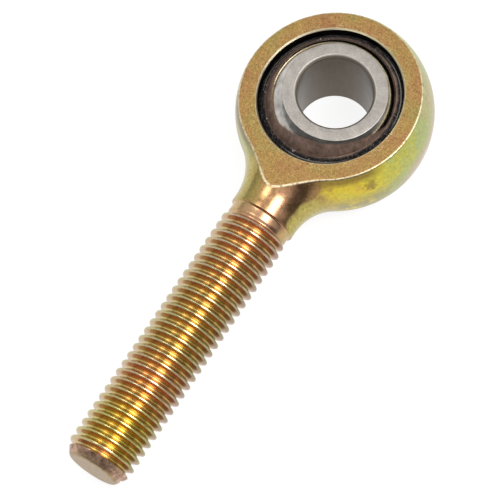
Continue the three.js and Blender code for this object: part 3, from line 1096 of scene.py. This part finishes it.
class BearingSteel(Finish):
    """Ball of bearing steel: ground faces, polished sphere with grease and painted shade low down, honed bore
    painted dark as shade.
    """

    def __init__(self):
        super().__init__("ball_steel", Vector((1, 0, 0)), Vector((0, 1, 0)), Vector((0, 0, 1)))
        self.rim = self.length(self.x, self.y)
        self.height = self.math("ABSOLUTE", self.z)
        self.grain = self.noise(6.0, detail=3, roughness=0.7, seed=1.9)
        self.smears = self.noise(0.5, detail=4, roughness=0.6, seed=7.3)
        self.on_face = self.step(*BALL_FACE_FADE, self.height)
        self.in_bore = self.step(*BALL_BORE_FADE, self.rim)
        outside = self.step(*CHAMFER_OUTER_FADE, self.rim)
        self.on_chamfer = self.times(outside, self.step(*CHAMFER_INNER_FADE, self.rim))
        self.film = self.film_height()
        self.grease_and_shade = self.times(self.step(*GREASE_AND_SHADE_FADE, self.film), self.step(*BALL_SIDE_FADE, self.height))

    def film_height(self):
        """Height on the ball, less where the grease and painted shade climb, with ragged limits."""
        front = self.plus(self.times(self.x, GREASE_AND_SHADE_SIDE[0]), self.times(self.y, GREASE_AND_SHADE_SIDE[1]))
        film = self.math("MULTIPLY_ADD", self.step(*GREASE_AND_SHADE_SIDE_FADE, front), -GREASE_AND_SHADE_CLIMB, self.height)
        return self.plus(film, self.swing(self.smears, 1.6))

    def colour(self):
        """Ground faces, polished sphere with grease and painted shade, honed bore in painted shade, and the
        chamfer between them in painted shade with a painted glint.
        """
        honed = self.noise(1.0, detail=3, place=self.stretch(4.0, 4.0, 0.3), seed=3.6)
        runs = self.noise(0.9, detail=4, roughness=0.7, place=self.stretch(1.0, 1.0, 0.35), seed=4.9)
        ground = self.shade(GROUND_STEEL, self.grain, 0.66, 1.3)
        ground = self.shade(ground, self.smears, 0.85, 1.1)
        polished = self.shade(POLISHED_STEEL, self.smears, 0.5, 1.2)
        # Grease and painted shade: brown low on the sphere, also standing for the race reflected in it.
        polished = self.mix(self.step(*OIL_AND_SHADE_FADE, self.film), polished, OILED_STEEL_AND_SHADE)
        polished = self.mix(self.grease_and_shade, polished, self.shade(BALL_GREASE_AND_SHADE, runs, 0.35, 1.6))
        colour = self.mix(self.on_face, polished, ground)
        # Painted shade: the honed bore is painted dark for the shade inside it.
        colour = self.mix(self.in_bore, colour, self.shade(BALL_BORE_PAINTED_SHADE, honed, 0.82, 1.2))
        # Painted shade on the chamfer, like the bore, with a painted glint towards its outer edge.
        chamfer_shade_and_glint = self.mix(self.step(*CHAMFER_BRIGHT_FADE, self.rim), CHAMFER_PAINTED_SHADE, CHAMFER_PAINTED_GLINT)
        return self.mix(self.on_chamfer, colour, chamfer_shade_and_glint)

    def roughness(self):
        """Satin faces and bore, polished sphere, dull grease."""
        rough = self.blend(self.on_face, 0.12, 0.36)
        rough = self.blend(self.grease_and_shade, rough, 0.45)
        rough = self.blend(self.in_bore, rough, 0.32)
        rough = self.blend(self.on_chamfer, rough, 0.5)
        return self.plus(rough, self.swing(self.smears, 0.12))

    def metal(self):
        """Metal everywhere but under the grease."""
        greased = self.times(self.grease_and_shade, self.math("SUBTRACT", 1.0, self.in_bore))
        return self.blend(greased, 1.0, 0.1)

    def relief(self):
        """Grain of the ground faces and the bore; almost none on the polished sphere."""
        depth = self.blend(self.math("MAXIMUM", self.on_face, self.in_bore), 0.0006, 0.009)
        return self.bump(self.times(self.grain, depth))


# ---------------- camera, floor and light

# Places and sizes here are metres in the frame.
CAMERA_PLACE = Vector((238.12, 146.49, 644.43)) * MM
CAMERA_FORWARD = Vector((-0.29513, -0.20937, -0.93223))
CAMERA_RIGHT = Vector((-0.54254, 0.83986, -0.01687))
CAMERA_FIELD = math.radians(8.1703)
CAMERA_NEAR_LIMIT = 0.01

# The floor gives off most of its light itself, so that it comes out white like a light table.
FLOOR_HALF_SIZE = 1.5
FLOOR_GREY = (0.16, 0.16, 0.16)
FLOOR_ROUGHNESS = 0.8
FLOOR_LIGHT = (1.0, 1.0, 1.0)
FLOOR_GLOW = 0.87
FLOOR_GAP = 0.0002

# Long soft lights: how far each leans along the shank and to its side in degrees, then its size.
LIGHT_DISTANCE = 0.95
LIGHTS = [
    {"name": "overhead", "lean": -5, "side": 21.5, "length": 0.54, "width": 0.40, "radiance": 8.2},
    {"name": "side", "lean": 6, "side": -25, "length": 0.36, "width": 0.26, "radiance": 4.8},
]

# White walls that are dim near the horizon and open to the dark towards the front.
FRONT_ANGLE = math.radians(30)
FRONT = Vector((math.cos(FRONT_ANGLE), math.sin(FRONT_ANGLE), 0))
WALL_RADIANCE = 0.9
HORIZON_RADIANCE = 0.5
OPENING_RADIANCE = 0.16
HORIZON_FADE = (0.05, 0.45)
OPENING_SIDE_FADE = (0.1, 0.6)
OPENING_TOP_FADE = (0.78, 0.5)
LEAST_LEVEL = 0.01


def aim(place, forward, right):
    """Placement matrix of an object that looks along forward."""
    back = -forward.normalized()
    up = back.cross(right).normalized()
    right = up.cross(back)
    return Matrix.Translation(place) @ Matrix((right, up, back)).transposed().to_4x4()


def add_camera():
    """Camera at the photograph's angle and distance."""
    data = bpy.data.cameras.new("camera")
    data.sensor_fit = "HORIZONTAL"
    data.angle = CAMERA_FIELD
    data.clip_start = CAMERA_NEAR_LIMIT
    camera = bpy.data.objects.new("camera", data)
    camera.matrix_world = aim(CAMERA_PLACE, CAMERA_FORWARD, CAMERA_RIGHT)
    bpy.context.scene.collection.objects.link(camera)
    bpy.context.scene.camera = camera


def add_floor():
    """Plain pale floor just under the part."""
    mesh = bmesh.new()
    bmesh.ops.create_grid(mesh, x_segments=2, y_segments=2, size=FLOOR_HALF_SIZE)
    data = bpy.data.meshes.new("floor")
    mesh.to_mesh(data)
    mesh.free()
    finish = Finish("floor")
    finish.set(base_color=FLOOR_GREY, roughness=FLOOR_ROUGHNESS)
    finish.set(emission_color=FLOOR_LIGHT, emission_strength=FLOOR_GLOW)
    data.materials.append(finish.material)
    floor = bpy.data.objects.new("floor", data)
    floor.location.z = cad_box[0][2] - FLOOR_GAP
    bpy.context.scene.collection.objects.link(floor)


def add_light(name, lean, side, length, width, radiance):
    """Long soft light above the shank, leaning along it and to its side by two angles in degrees."""
    lean, side = math.radians(lean), math.radians(side)
    towards = Vector((math.sin(lean), math.cos(lean) * math.sin(side), math.cos(lean) * math.cos(side)))
    data = bpy.data.lights.new(name, "AREA")
    data.shape = "RECTANGLE"
    data.size = length
    data.size_y = width
    data.energy = radiance * math.pi * length * width
    light = bpy.data.objects.new(name, data)
    light.matrix_world = aim(towards * LIGHT_DISTANCE, -towards, Vector((1, 0, 0)))
    bpy.context.scene.collection.objects.link(light)


def add_studio():
    """White studio that is open and dark towards the front."""
    world = bpy.data.worlds.new("studio")
    bpy.context.scene.world = world
    world.use_nodes = True
    nodes = Nodes(world.node_tree)
    direction = nodes.tree.nodes.new("ShaderNodeTexCoord").outputs["Generated"]
    height = nodes.split(direction)[2]
    front = nodes.vector("DOT_PRODUCT", direction, FRONT)
    level = nodes.math("SQRT", nodes.math("SUBTRACT", 1.0, nodes.times(height, height)))
    facing = nodes.math("DIVIDE", front, nodes.math("MAXIMUM", level, LEAST_LEVEL))
    dark = nodes.times(nodes.step(*OPENING_SIDE_FADE, facing), nodes.step(*OPENING_TOP_FADE, height))
    wall = nodes.blend(nodes.step(*HORIZON_FADE, height), HORIZON_RADIANCE, WALL_RADIANCE)
    background = nodes.tree.nodes["Background"].inputs
    nodes.feed(background["Strength"], nodes.blend(dark, wall, OPENING_RADIANCE))
    nodes.feed(background["Color"], (1, 1, 1, 1))
    bpy.context.scene.view_settings.view_transform = "Standard"


# ---------------- the scene

add_camera()
steel = PlatedSteel().finished()
nylon = black_nylon()
ball_steel = BearingSteel().finished()
finish_piece("body_surface", body_mesh(), steel, body_place, "shank_body", "rod_end_body")
finish_piece("race_surface", race_mesh(), nylon, body_place, "race_body", "race")
finish_piece("ball_surface", ball_mesh(), ball_steel, ball_place, "ball_body", "ball")
add_floor()
add_studio()
for light in LIGHTS:
    add_light(**light)
